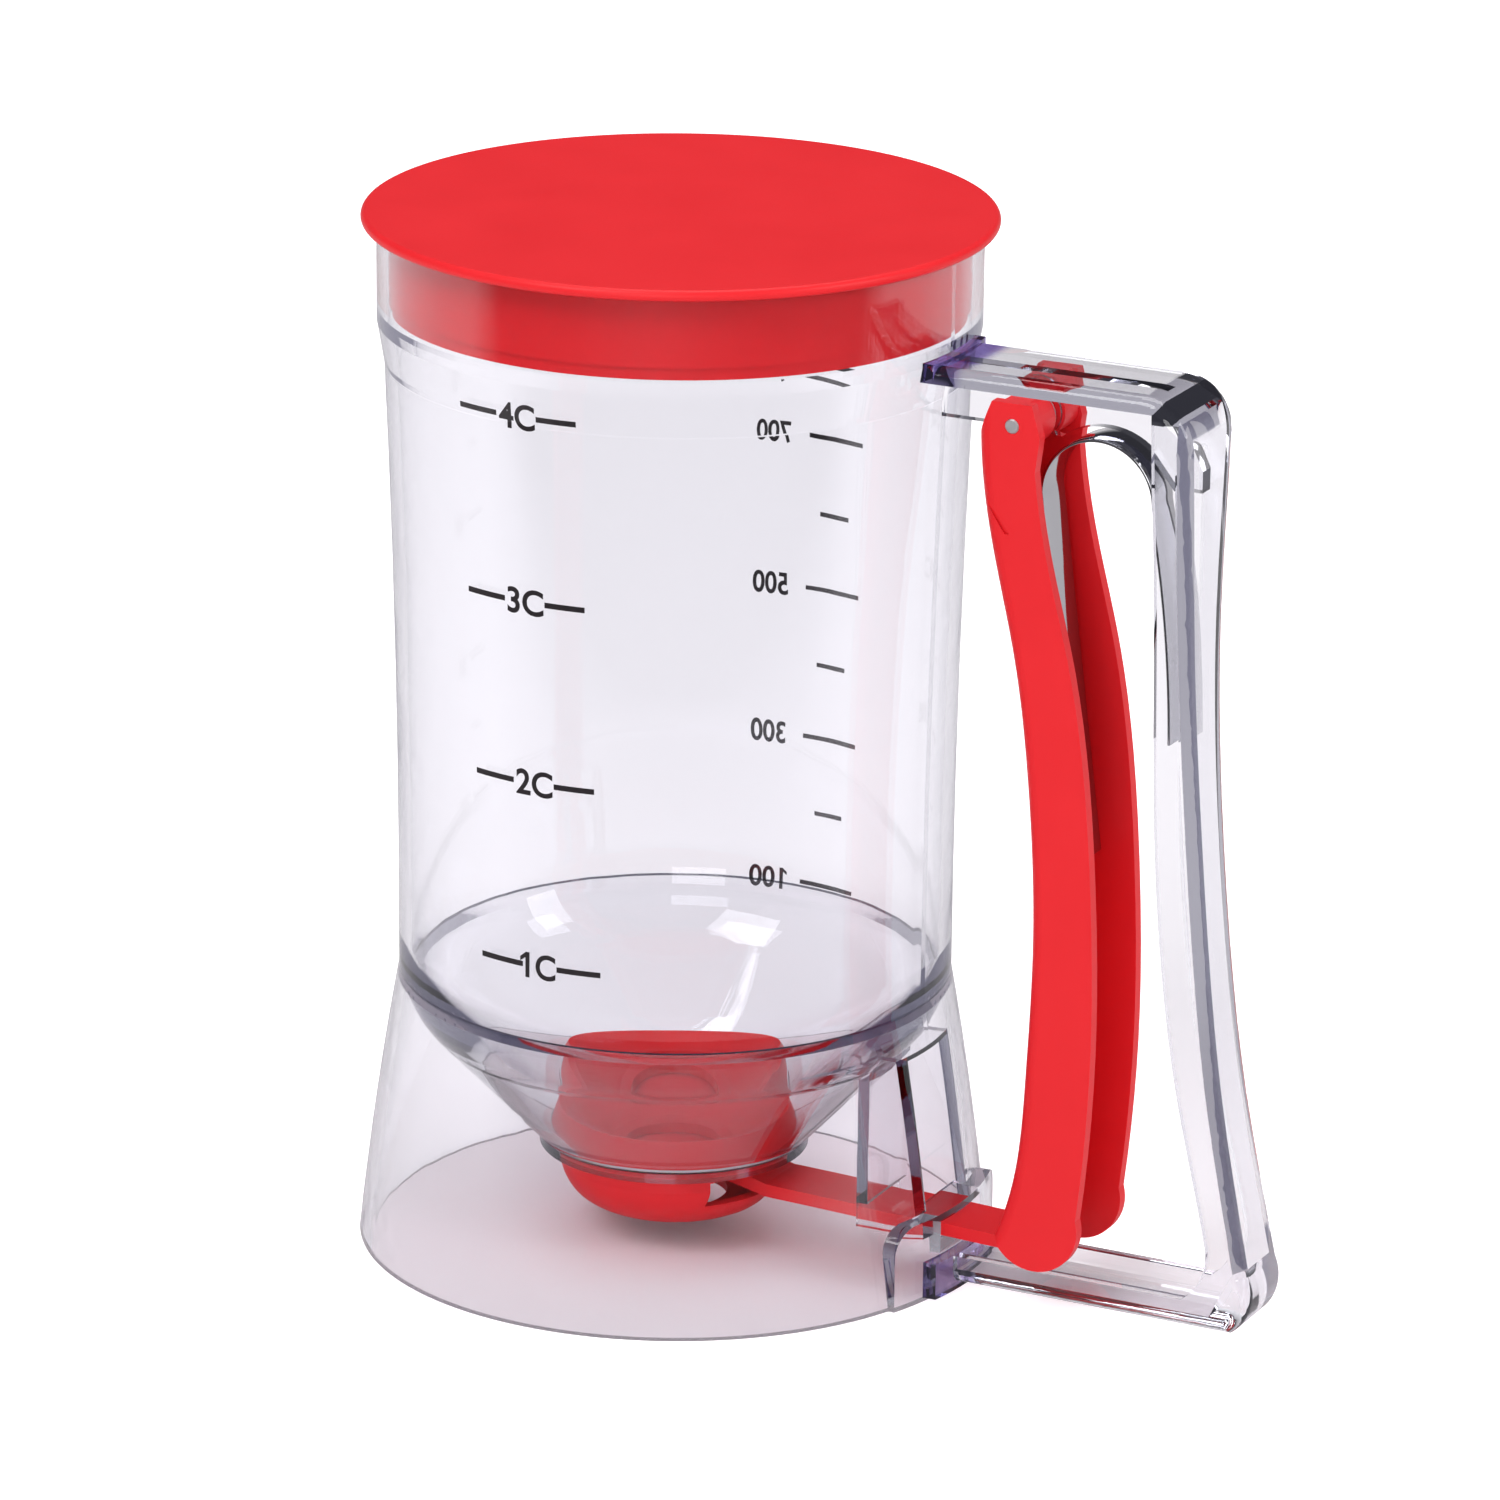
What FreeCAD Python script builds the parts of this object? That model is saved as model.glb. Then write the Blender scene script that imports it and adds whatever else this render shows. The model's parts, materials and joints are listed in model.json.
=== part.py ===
"""Pancake batter dispenser with a squeeze trigger.

A clear container stands on a clear skirt. A clear handle carries a red trigger, which pulls
a red slide through a window in the skirt and so opens the outlet under the bowl.

Millimetres, +Z up, with the handle towards +X. Every piece is drawn round the container's axis,
on the surface that the skirt stands on. Then it moves along X, so that the origin is under the
middle of the whole part.
"""
import FreeCAD
import Part
import math
import os

V = FreeCAD.Vector

# The container's axis, seen from the middle of the whole part
AXIS_X = -29.35

# Container: radii and heights
WALL = 2.2
COLLAR_R = 52.3
COLLAR_TOP = 184.6
COLLAR_FOOT = 167.5
COLLAR_BORE = 50.5
SHOULDER_R, SHOULDER_Z = 51.0, 160.0
WAIST_R, WAIST_Z = 49.25, 105.0
JOINT_R, JOINT_Z = 48.8, 49.8
JOINT_LEDGE_R = 47.4
BOWL_TURN_R = 42.5
BOWL_SLOPE = 1.076
BOWL_WALL_RISE = 3.8
BOWL_FILLET = 24.0
NECK_R, NECK_TOP, NECK_FOOT = 23.9, 18.5, 16.8
NECK_BORE = 20.3
LEDGE_R, LEDGE_Z = 22.4, 19.4

# Lid
LID_R, LID_TOP, LID_BRIM = 55.0, 186.6, 2.0
PLUG_R, PLUG_FOOT, PLUG_WALL = 50.2, 170.0, 1.8
PLUG_STEP, PLUG_STEP_HEIGHT = 0.6, 2.2

# Base skirt, with the niche and the window for the valve arm
SKIRT_FOOT_R = 55.9
SKIRT_MID_R, SKIRT_MID_Z = 53.35, 21.0
SKIRT_WALL = 2.1
NICHE_HALF, NICHE_BACK, NICHE_WALL = 8.0, 42.0, 1.6
NICHE_SIDE_FOOT, NICHE_BACK_FOOT, NICHE_TOP = 10.4, 14.4, 42.0
PAD_R, PAD_HALF, PAD_TOP, PAD_CORNER = 57.0, 20.0, 14.8, 5.0
WINDOW_FOOT, WINDOW_TOP = 7.6, 13.4

# Valve seat, seal, outlet cup and slide
SEAT_FLANGE_R, SEAT_FLANGE_Z = 22.2, 20.2
SEAT_LIP_R, SEAT_LIP_Z = 20.6, 25.0
SEAT_TUBE_R, SEAT_FACE = 18.3, 15.9
HOLE_R, HOLE_RIM_Z = 8.5, 17.7
CUP_RING_R, CUP_RING_BORE, CUP_RING_TOP = 20.15, 18.45, 19.2
CUP_SIDE_FOOT = 13.5
CUP_BOTTOM, CUP_FOOT_R, CUP_WALL = 5.5, 12.5, 1.6
CUP_OUTLET = 9.6
CUP_BELLY_R, CUP_BELLY_Z = 18.4, 9.0
CUP_WINDOW_HALF, CUP_WINDOW_FOOT, CUP_WINDOW_TOP = 14.1, 10.6, 16.6
RAIL_IN, RAIL_LENGTH, RAIL_FOOT = 11.0, 9.0, 10.5
LUG_ANGLES, LUG_HALF_ANGLE = (-50.0, 70.0, 190.0), 6.0
LUG_R, LUG_FOOT, LUG_TOP = 21.4, 15.6, 16.7
PLATE_HALF, PLATE_END, PLATE_SHOULDER = 13.5, -10.6, 11.0
PLATE_FOOT, PLATE_TOP = 13.3, 15.7
ARM_HALF, ARM_THICK = 5.8, 2.3
ARM_DROP_X, ARM_TOP_NEAR, ARM_TOP_FAR = 21.0, 13.4, 11.8
BAR_X, BAR_Z, BAR_R, BAR_HALF = 71.4, 10.7, 1.6, 7.7

# Handle
HANDLE_TOP, FLANGE_THICK, FLANGE_HALF = 167.8, 2.8, 10.4
HANDLE_START, HANDLE_FOOT = 50.4, 2.2
GRIP_OUT = ((100.3, 150.0), (100.4, 122.0), (102.0, 93.0), (104.5, 66.0), (107.5, 44.0), (111.0, 26.0),
            (113.8, 13.0))
GRIP_IN = ((93.6, 150.0), (93.9, 122.0), (94.4, 90.0), (97.2, 60.0), (100.2, 43.0), (103.6, 29.0),
           (106.2, 18.0))
TOP_BEND, FOOT_BEND, FOOT_X = 9.0, 4.5, 111.0
GRIP_SIDE_WALL = 2.0
HANDLE_EDGE = 2.4
HANDLE_THROAT = 4.0
HALF_WIDTHS = ((FLANGE_HALF, 200.0), (FLANGE_HALF, 164.0), (8.6, 140.0), (6.8, 100.0), (6.8, 60.0),
               (7.6, 20.0), (8.0, -5.0))
FIN_HALF, FIN_FOOT = 1.6, 157.0
FIN_SEAT = ((73.3, 156.4), (81.3, 159.1), (89.9, 155.8))
BOSS_R, BOSS_HALF = 4.2, 2.2
ARM_RIB_TOP, ARM_FLOOR = 7.4, 2.4
FOOT_PAD_HALF, FOOT_PAD_THICK, FOOT_PAD_FOOT = 13.0, 2.4, 0.8
TOP_PAD_THICK, TOP_PAD_RISE = 2.0, 0.6
FAR_X = 130.0

# Trigger and its pin
PIVOT_X, PIVOT_Z, PIN_R, PIN_HALF, PIN_FIT = 68.0, 159.6, 1.25, 10.5, 0.05
TRIGGER_HALF, CHEEK_WALL, WEB_WALL = 10.3, 2.2, 2.4
TRIGGER_BACK = ((61.4, 157.0), (62.0, 149.0), (63.8, 138.4), (68.3, 118.8), (71.4, 97.0), (73.0, 68.0),
                (72.1, 43.0), (70.2, 24.0), (67.2, 14.0))
TRIGGER_FRONT = ((83.0, 19.0), (85.2, 50.0), (84.4, 80.0), (79.4, 119.0), (74.9, 137.0), (72.4, 152.0))
TRIGGER_TOE = (75.0, 8.4)
TRIGGER_TOP, TRIGGER_TOP_BACK, TRIGGER_TOP_FRONT = 163.6, 64.2, (73.2, 158.0)
TRIGGER_CORNER = 2.6
HUB_R, HUB_GAP = 4.6, 0.4
CREASE_TOP, CREASE_FOOT, CREASE_WIDE, CREASE_DEEP = (60.8, 149.6), (67.0, 140.6), 0.9, 0.45
SPRING_RIB_HALF, SPRING_RIB_FOOT, SPRING_RIB_TOP = 1.1, 80.0, 128.0
BAR_PLAY = 0.3
KEEPER_THICK, KEEPER_FOOT, KEEPER_TOP = 2.0, 9.6, 16.0
WEB_SLOT_HALF, WEB_SLOT_FOOT, WEB_SLOT_TOP = 6.4, 7.0, 14.2
WEB_TOP = 154.6

# Leaf spring
STRIP_HALF, STRIP_THICK = 4.4, 0.5
ARCH_X, ARCH_Z, ARCH_R = 81.3, 147.0, 10.3
SPRING_TIP_IN, SPRING_MID_IN = (79.6, 82.0), (75.6, 112.0)
SPRING_TIP_OUT, SPRING_MID_OUT = (96.0, 106.0), (94.6, 128.0)


def vec(point, y=0.0):
    return V(point[0], y, point[1])


def wire(start, *steps):
    """Closed wire in the XZ plane.

    A step is a point for a straight line, a pair of points for an arc through the first,
    or a list of points for a smooth curve.
    """
    edges = []
    here = vec(start)
    for step in steps:
        if isinstance(step, list):
            points = [here] + [vec(point) for point in step]
            curve = Part.BSplineCurve()
            curve.interpolate(points)
            edges.append(curve.toShape())
            here = points[-1]
        elif isinstance(step[0], tuple):
            end = vec(step[1])
            edges.append(Part.Arc(here, vec(step[0]), end).toShape())
            here = end
        else:
            end = vec(step)
            edges.append(Part.makeLine(here, end))
            here = end
    if here.distanceToPoint(vec(start)) > 1e-6:
        edges.append(Part.makeLine(here, vec(start)))
    return Part.Wire(edges)


def turned(start, *steps):
    """Solid turned about the Z axis from an outline of radius and height."""
    return Part.Face(wire(start, *steps)).revolve(V(0, 0, 0), V(0, 0, 1), 360)


def slab(half, start, *steps):
    """Solid with an XZ outline, reaching the same way to both sides of Y = 0."""
    face = Part.Face(wire(start, *steps))
    face.translate(V(0, -half, 0))
    return face.extrude(V(0, 2 * half, 0))


def box(x0, x1, y0, y1, z0, z1):
    return Part.makeBox(x1 - x0, y1 - y0, z1 - z0, V(x0, y0, z0))


def rod(x, z, radius, half):
    """Round bar along Y."""
    return Part.makeCylinder(radius, 2 * half, V(x, -half, z), V(0, 1, 0))


def shifted(points, dx):
    return [(x + dx, z) for x, z in points]


def front_shape(points, x0, x1):
    """Solid along X whose outline is the same on both sides of Y = 0, from half widths and heights."""
    right = [V(x0, half, z) for half, z in points]
    left = [V(x0, -half, z) for half, z in reversed(points)]
    curve_right = Part.BSplineCurve()
    curve_right.interpolate(right)
    curve_left = Part.BSplineCurve()
    curve_left.interpolate(left)
    edges = [curve_right.toShape(), Part.makeLine(right[-1], left[0]), curve_left.toShape(),
             Part.makeLine(left[-1], right[0])]
    return Part.Face(Part.Wire(edges)).extrude(V(x1 - x0, 0, 0))


def bowl_rise(radius, lift=0.0):
    """Height of the bowl's cone at a radius: the outer face, or the inner one with the wall's rise."""
    return NECK_TOP + BOWL_SLOPE * (radius - NECK_R) + lift


def bowl_turn():
    """Middle and end of the arc by which the outside of the bowl turns from its cone up to the ledge."""
    start = V(BOWL_TURN_R, bowl_rise(BOWL_TURN_R), 0)
    end = V(JOINT_LEDGE_R, JOINT_Z, 0)
    inward = V(-BOWL_SLOPE, 1, 0).normalize()
    chord = end - start
    radius = chord.dot(chord) / (2 * chord.dot(inward))
    centre = start + inward * radius
    middle = centre + (start + chord / 2 - centre).normalize() * radius
    return (middle.x, middle.y), (end.x, end.y)


def make_container():
    inner_r = JOINT_R - WALL
    corner_z = bowl_rise(inner_r, BOWL_WALL_RISE)
    lean = math.atan(BOWL_SLOPE)
    turn = math.pi / 2 - lean
    run = BOWL_FILLET * math.tan(turn / 2)
    fillet_top = (inner_r, corner_z + run)
    fillet_mid = (inner_r - BOWL_FILLET * (1 - math.cos(turn / 2)),
                  corner_z + run - BOWL_FILLET * math.sin(turn / 2))
    fillet_end = (inner_r - run * math.cos(lean), corner_z - run * math.sin(lean))
    return turned(
        (NECK_BORE, NECK_FOOT),
        (NECK_R, NECK_FOOT),
        (NECK_R, NECK_TOP),
        (BOWL_TURN_R, bowl_rise(BOWL_TURN_R)),
        bowl_turn(),
        (JOINT_R, JOINT_Z),
        [(WAIST_R, WAIST_Z), (SHOULDER_R, SHOULDER_Z)],
        (COLLAR_R, COLLAR_FOOT),
        (COLLAR_R, COLLAR_TOP),
        (COLLAR_BORE, COLLAR_TOP),
        (COLLAR_BORE, COLLAR_FOOT + 2.3),
        (SHOULDER_R - WALL, SHOULDER_Z),
        [(WAIST_R - WALL, WAIST_Z), fillet_top],
        (fillet_mid, fillet_end),
        (LEDGE_R, bowl_rise(LEDGE_R, BOWL_WALL_RISE)),
        (LEDGE_R, LEDGE_Z),
        (NECK_BORE, LEDGE_Z),
    )


def make_lid():
    edge = LID_BRIM / 2
    brim_foot = LID_TOP - LID_BRIM
    inner = PLUG_R - PLUG_WALL
    return turned(
        (0, LID_TOP),
        (LID_R - edge, LID_TOP),
        ((LID_R, LID_TOP - edge), (LID_R - edge, brim_foot)),
        (PLUG_R, brim_foot),
        (PLUG_R, PLUG_FOOT + PLUG_STEP_HEIGHT),
        (PLUG_R - PLUG_STEP, PLUG_FOOT + PLUG_STEP_HEIGHT),
        (PLUG_R - PLUG_STEP, PLUG_FOOT),
        (inner, PLUG_FOOT),
        (inner, brim_foot),
        (0, brim_foot),
    )


def skirt_core():
    """The air inside the skirt, up to its top."""
    return turned(
        (0, 0),
        (SKIRT_FOOT_R - SKIRT_WALL, 0),
        [(SKIRT_MID_R - SKIRT_WALL, SKIRT_MID_Z), (JOINT_R - SKIRT_WALL, JOINT_Z)],
        (0, JOINT_Z),
    )


def bowl_mass():
    """The space that the bowl and its neck fill above the skirt's niche."""
    return turned(
        (0, NECK_FOOT),
        (NECK_R, NECK_FOOT),
        (NECK_R, NECK_TOP),
        (BOWL_TURN_R, bowl_rise(BOWL_TURN_R)),
        bowl_turn(),
        (JOINT_LEDGE_R, JOINT_Z + 1),
        (0, JOINT_Z + 1),
    )


def make_base_skirt():
    core = skirt_core()
    shell = turned(
        (0, 0),
        (SKIRT_FOOT_R, 0),
        [(SKIRT_MID_R, SKIRT_MID_Z), (JOINT_R, JOINT_Z)],
        (0, JOINT_Z),
    )
    pad_block = box(0, PAD_R + 1, -PAD_HALF, PAD_HALF, 0, PAD_TOP)
    corners = [edge for edge in pad_block.Edges
               if edge.BoundBox.XLength > PAD_R and edge.BoundBox.ZMin > PAD_TOP - 0.1]
    pad_block = pad_block.makeFillet(PAD_CORNER, corners)
    pad = pad_block.common(Part.makeCylinder(PAD_R, PAD_TOP))
    niche_outer = NICHE_HALF + NICHE_WALL
    niche_back = NICHE_BACK - NICHE_WALL
    niche = box(niche_back, SKIRT_FOOT_R, -niche_outer, niche_outer, NICHE_SIDE_FOOT, NICHE_TOP)
    niche = niche.common(shell)
    niche_air = box(NICHE_BACK, PAD_R + 5, -NICHE_HALF, NICHE_HALF, PAD_TOP, NICHE_TOP)
    niche_low = box(NICHE_BACK, SKIRT_MID_R - SKIRT_WALL, -NICHE_HALF, NICHE_HALF, 0, PAD_TOP)
    window = box(NICHE_BACK, PAD_R + 5, -NICHE_HALF, NICHE_HALF, WINDOW_FOOT, WINDOW_TOP)
    back_gate = box(0, NICHE_BACK + 1, -NICHE_HALF, NICHE_HALF, 0, NICHE_BACK_FOOT)
    skirt = shell.cut(core).fuse(pad.cut(core)).fuse(niche)
    for air in (niche_air, window, niche_low.common(core), back_gate.common(core), bowl_mass()):
        skirt = skirt.cut(air)
    return skirt.removeSplitter()


def make_valve_seat():
    return turned(
        (HOLE_R, SEAT_FACE),
        (SEAT_TUBE_R, SEAT_FACE),
        (SEAT_TUBE_R, SEAT_FLANGE_Z),
        (SEAT_FLANGE_R, SEAT_FLANGE_Z),
        (SEAT_FLANGE_R, SEAT_FLANGE_Z + 0.3),
        (SEAT_LIP_R, SEAT_LIP_Z),
        (SEAT_LIP_R - 1.2, SEAT_LIP_Z - 0.4),
        (HOLE_R + 2.0, HOLE_RIM_Z + 0.6),
        (HOLE_R, HOLE_RIM_Z),
    )


def make_seat_seal():
    return turned(
        (CUP_RING_BORE + 0.1, LEDGE_Z),
        (SEAT_FLANGE_R, LEDGE_Z),
        (SEAT_FLANGE_R, SEAT_FLANGE_Z),
        (CUP_RING_BORE + 0.1, SEAT_FLANGE_Z),
    )


def make_outlet_cup():
    inner_foot = CUP_BOTTOM + CUP_WALL
    cup = turned(
        (CUP_OUTLET, CUP_BOTTOM),
        (CUP_FOOT_R, CUP_BOTTOM),
        ((CUP_BELLY_R, CUP_BELLY_Z), (CUP_RING_R, CUP_SIDE_FOOT)),
        (CUP_RING_R, CUP_RING_TOP),
        (CUP_RING_BORE, CUP_RING_TOP),
        (CUP_RING_BORE, CUP_SIDE_FOOT),
        ((CUP_BELLY_R - CUP_WALL, CUP_BELLY_Z + CUP_WALL / 2), (CUP_FOOT_R - 0.5, inner_foot)),
        (CUP_OUTLET, inner_foot),
    )
    rail_r = CUP_BELLY_R - CUP_WALL + 1.0
    inside = turned(
        (0, 0),
        (rail_r, 0),
        (rail_r, CUP_BELLY_Z),
        (CUP_RING_BORE + 0.5, CUP_SIDE_FOOT),
        (0, CUP_SIDE_FOOT),
    )
    for side in (-1, 1):
        low, high = sorted((side * RAIL_IN, side * CUP_RING_R))
        rail = box(-RAIL_LENGTH, RAIL_LENGTH, low, high, RAIL_FOOT, PLATE_FOOT - 0.2)
        cup = cup.fuse(rail.common(inside))
    window = box(6, 30, -CUP_WINDOW_HALF, CUP_WINDOW_HALF, CUP_WINDOW_FOOT, CUP_WINDOW_TOP)
    cup = cup.cut(window)
    for angle in LUG_ANGLES:
        root = CUP_RING_R - 0.3
        lug = turned((root, LUG_FOOT - 0.3), (LUG_R, LUG_FOOT), (LUG_R, LUG_TOP), (root, LUG_TOP))
        wedge = Part.makeCylinder(30, 30, V(0, 0, 0), V(0, 0, 1), 2 * LUG_HALF_ANGLE)
        wedge.rotate(V(0, 0, 0), V(0, 0, 1), angle - LUG_HALF_ANGLE)
        cup = cup.fuse(lug.common(wedge))
    return cup.removeSplitter()


def make_valve_slide():
    end_x = PLATE_END + PLATE_HALF
    plate = box(end_x, PLATE_SHOULDER, -PLATE_HALF, PLATE_HALF, PLATE_FOOT, PLATE_TOP)
    nose = Part.makeCylinder(PLATE_HALF, PLATE_TOP - PLATE_FOOT, V(end_x, 0, PLATE_FOOT))
    arm = slab(
        ARM_HALF,
        (PLATE_SHOULDER - 2, PLATE_TOP),
        (PLATE_SHOULDER + 2, PLATE_TOP),
        (ARM_DROP_X, ARM_TOP_NEAR),
        (BAR_X, ARM_TOP_FAR),
        (BAR_X, ARM_TOP_FAR - ARM_THICK),
        (ARM_DROP_X, ARM_TOP_NEAR - ARM_THICK),
        (PLATE_SHOULDER, PLATE_FOOT),
        (PLATE_SHOULDER - 2, PLATE_FOOT),
    )
    bar = rod(BAR_X, BAR_Z, BAR_R, BAR_HALF)
    nose = nose.cut(box(PLATE_SHOULDER, 40, -20, 20, 0, 30))
    return plate.fuse(nose).fuse(arm).fuse(bar).removeSplitter()


def handle_outline():
    """Side outline of the whole handle: top arm, grip and bottom arm."""
    out = list(GRIP_OUT)
    bend = TOP_BEND * (1 - math.sqrt(0.5))
    return slab(
        FLANGE_HALF,
        (HANDLE_START, HANDLE_TOP),
        (out[0][0] - TOP_BEND, HANDLE_TOP),
        ((out[0][0] - bend, HANDLE_TOP - bend), (out[0][0], HANDLE_TOP - TOP_BEND)),
        out,
        ((out[-1][0] + 0.4, HANDLE_FOOT + FOOT_BEND), (FOOT_X, HANDLE_FOOT)),
        (HANDLE_START, HANDLE_FOOT),
        (HANDLE_START, ARM_RIB_TOP),
        (GRIP_IN[-1][0] - 4.0, ARM_RIB_TOP),
        ((GRIP_IN[-1][0] - 0.6, ARM_RIB_TOP + 4.0), GRIP_IN[-1]),
        list(reversed(GRIP_IN[:-1])),
        (GRIP_IN[0][0], HANDLE_TOP - FLANGE_THICK),
        (HANDLE_START, HANDLE_TOP - FLANGE_THICK),
    )


def handle_channel():
    """The air that makes the grip and the bottom arm channels, open towards the trigger."""
    back = shifted(reversed(GRIP_OUT), -FLANGE_THICK)
    floor = HANDLE_FOOT + ARM_FLOOR
    top = HANDLE_TOP - FLANGE_THICK - 2.0
    return slab(
        FLANGE_HALF,
        (0, floor),
        (back[0][0] - 4.0, floor),
        back[0],
        back[1:],
        (back[-1][0], top),
        (GRIP_IN[0][0] - 8.0, top),
        (GRIP_IN[0][0] - 8.0, 30.0),
        (0, 30.0),
    )


def on_outer_edge(edge):
    """True for the long edges outside the handle: over the top, down the grip and under the foot."""
    middle = edge.valueAt((edge.FirstParameter + edge.LastParameter) / 2)
    if edge.BoundBox.YLength > HANDLE_THROAT or edge.Length < HANDLE_THROAT:
        return False
    nearest = min(GRIP_OUT, key=lambda point: abs(point[1] - middle.z))
    at_end = middle.z > HANDLE_TOP - 0.1 or middle.z < HANDLE_FOOT + 0.1
    return at_end or middle.x > nearest[0] - HANDLE_THROAT


def make_handle():
    width = front_shape(HALF_WIDTHS, 0, FAR_X)
    inner_width = front_shape([(half - GRIP_SIDE_WALL, z) for half, z in HALF_WIDTHS], 0, FAR_X)
    bar = handle_outline().common(width)
    bar = bar.makeFillet(HANDLE_EDGE, [edge for edge in bar.Edges if on_outer_edge(edge)])
    handle = bar.cut(handle_channel().common(inner_width))
    fin = slab(
        FIN_HALF,
        (HANDLE_START, HANDLE_TOP - 1),
        (HANDLE_START, FIN_FOOT),
        (FIN_SEAT[0][0] - 4.5, FIN_FOOT),
        FIN_SEAT[0],
        (FIN_SEAT[1], FIN_SEAT[2]),
        (GRIP_IN[0][0] + 1, GRIP_OUT[0][1]),
        (GRIP_OUT[0][0] - 1, GRIP_OUT[0][1]),
        (GRIP_OUT[0][0] - TOP_BEND, HANDLE_TOP - 1),
    )
    boss = rod(PIVOT_X, PIVOT_Z, BOSS_R, BOSS_HALF)
    handle = handle.fuse(fin).fuse(boss)
    foot_pad = box(0, 80, -FOOT_PAD_HALF, FOOT_PAD_HALF, FOOT_PAD_FOOT, ARM_RIB_TOP)
    foot_pad = foot_pad.common(Part.makeCylinder(PAD_R + FOOT_PAD_THICK, 20))
    pad_foot = HANDLE_TOP - FLANGE_THICK
    top_pad = box(0, 80, -FLANGE_HALF, FLANGE_HALF, pad_foot, HANDLE_TOP + TOP_PAD_RISE)
    top_pad = top_pad.common(Part.makeCylinder(COLLAR_R + TOP_PAD_THICK, 200))
    handle = handle.fuse(foot_pad).fuse(top_pad)
    container_space = turned(
        (0, -1),
        (PAD_R, -1),
        (PAD_R, 30),
        (JOINT_R, JOINT_Z),
        [(WAIST_R, WAIST_Z), (SHOULDER_R, SHOULDER_Z)],
        (COLLAR_R, COLLAR_FOOT),
        (COLLAR_R, 220),
        (0, 220),
    )
    handle = handle.cut(container_space).cut(rod(PIVOT_X, PIVOT_Z, PIN_R, 30))
    return handle.removeSplitter()


def make_pivot_pin():
    pin = rod(PIVOT_X, PIVOT_Z, PIN_R, PIN_HALF)
    ends = [edge for edge in pin.Edges if edge.BoundBox.YLength < 1e-6]
    return pin.makeChamfer(0.2, ends)


def trigger_outline(half):
    back = list(TRIGGER_BACK)
    return slab(
        half,
        (TRIGGER_TOP_BACK, TRIGGER_TOP),
        back[0],
        back[1:],
        (TRIGGER_TOE, TRIGGER_FRONT[0]),
        list(TRIGGER_FRONT[1:]),
        TRIGGER_TOP_FRONT,
        (TRIGGER_TOP_FRONT[0] - 1.6, TRIGGER_TOP),
    )


def make_trigger():
    body = trigger_outline(TRIGGER_HALF)
    long_edges = []
    for edge in body.Edges:
        middle = edge.valueAt((edge.FirstParameter + edge.LastParameter) / 2)
        is_long = edge.BoundBox.ZLength > 120 and edge.BoundBox.YLength < 1e-6
        if is_long and middle.x < TRIGGER_FRONT[-1][0]:
            long_edges.append(edge)
    body = body.makeFillet(TRIGGER_CORNER, long_edges)
    back = shifted(TRIGGER_BACK, WEB_WALL)
    air = slab(
        TRIGGER_HALF - CHEEK_WALL,
        (TRIGGER_TOP_BACK + WEB_WALL, 200.0),
        back[0],
        back[1:],
        (back[-1][0] - 1.0, 0.0),
        (FAR_X, 0.0),
        (FAR_X, 200.0),
    )
    trigger = body.cut(air)
    cheek_gap = TRIGGER_HALF - CHEEK_WALL
    trigger = trigger.cut(box(50, 90, -cheek_gap, cheek_gap, WEB_TOP, 200))
    rib = slab(
        SPRING_RIB_HALF,
        (TRIGGER_BACK[3][0], SPRING_RIB_TOP),
        (SPRING_MID_IN[0] - 2.4, SPRING_RIB_TOP - 2),
        (SPRING_TIP_IN[0] - 1.0, SPRING_RIB_FOOT + 2),
        (SPRING_TIP_IN[0] - 1.4, SPRING_RIB_FOOT),
        (TRIGGER_BACK[5][0] + 1.0, SPRING_RIB_FOOT),
    )
    trigger = trigger.fuse(rib.common(trigger_outline(TRIGGER_HALF)))
    keeper_x = BAR_X + BAR_R + BAR_PLAY
    for side in (-1, 1):
        low, high = sorted((side * (ARM_HALF + 1.0), side * (TRIGGER_HALF - 1.0)))
        trigger = trigger.fuse(box(keeper_x, keeper_x + KEEPER_THICK, low, high, KEEPER_FOOT, KEEPER_TOP))
    trigger = trigger.cut(box(60, BAR_X - BAR_R, -WEB_SLOT_HALF, WEB_SLOT_HALF, WEB_SLOT_FOOT, WEB_SLOT_TOP))
    hub = rod(PIVOT_X, PIVOT_Z, HUB_R, TRIGGER_HALF - 1.0)
    hub = hub.cut(rod(PIVOT_X, PIVOT_Z, HUB_R + 1.0, BOSS_HALF + HUB_GAP))
    trigger = trigger.fuse(hub.common(trigger_outline(TRIGGER_HALF)))
    crease = slab(
        TRIGGER_HALF + 1.0,
        CREASE_TOP,
        CREASE_FOOT,
        (CREASE_FOOT[0] + CREASE_WIDE, CREASE_FOOT[1]),
        (CREASE_TOP[0] + CREASE_WIDE, CREASE_TOP[1]),
    )
    between = TRIGGER_HALF - CREASE_DEEP
    crease = crease.cut(box(50, 90, -between, between, 130, 160))
    trigger = trigger.cut(crease)
    trigger = trigger.cut(rod(PIVOT_X, PIVOT_Z, PIN_R + PIN_FIT, 30))
    return trigger.removeSplitter()


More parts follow.
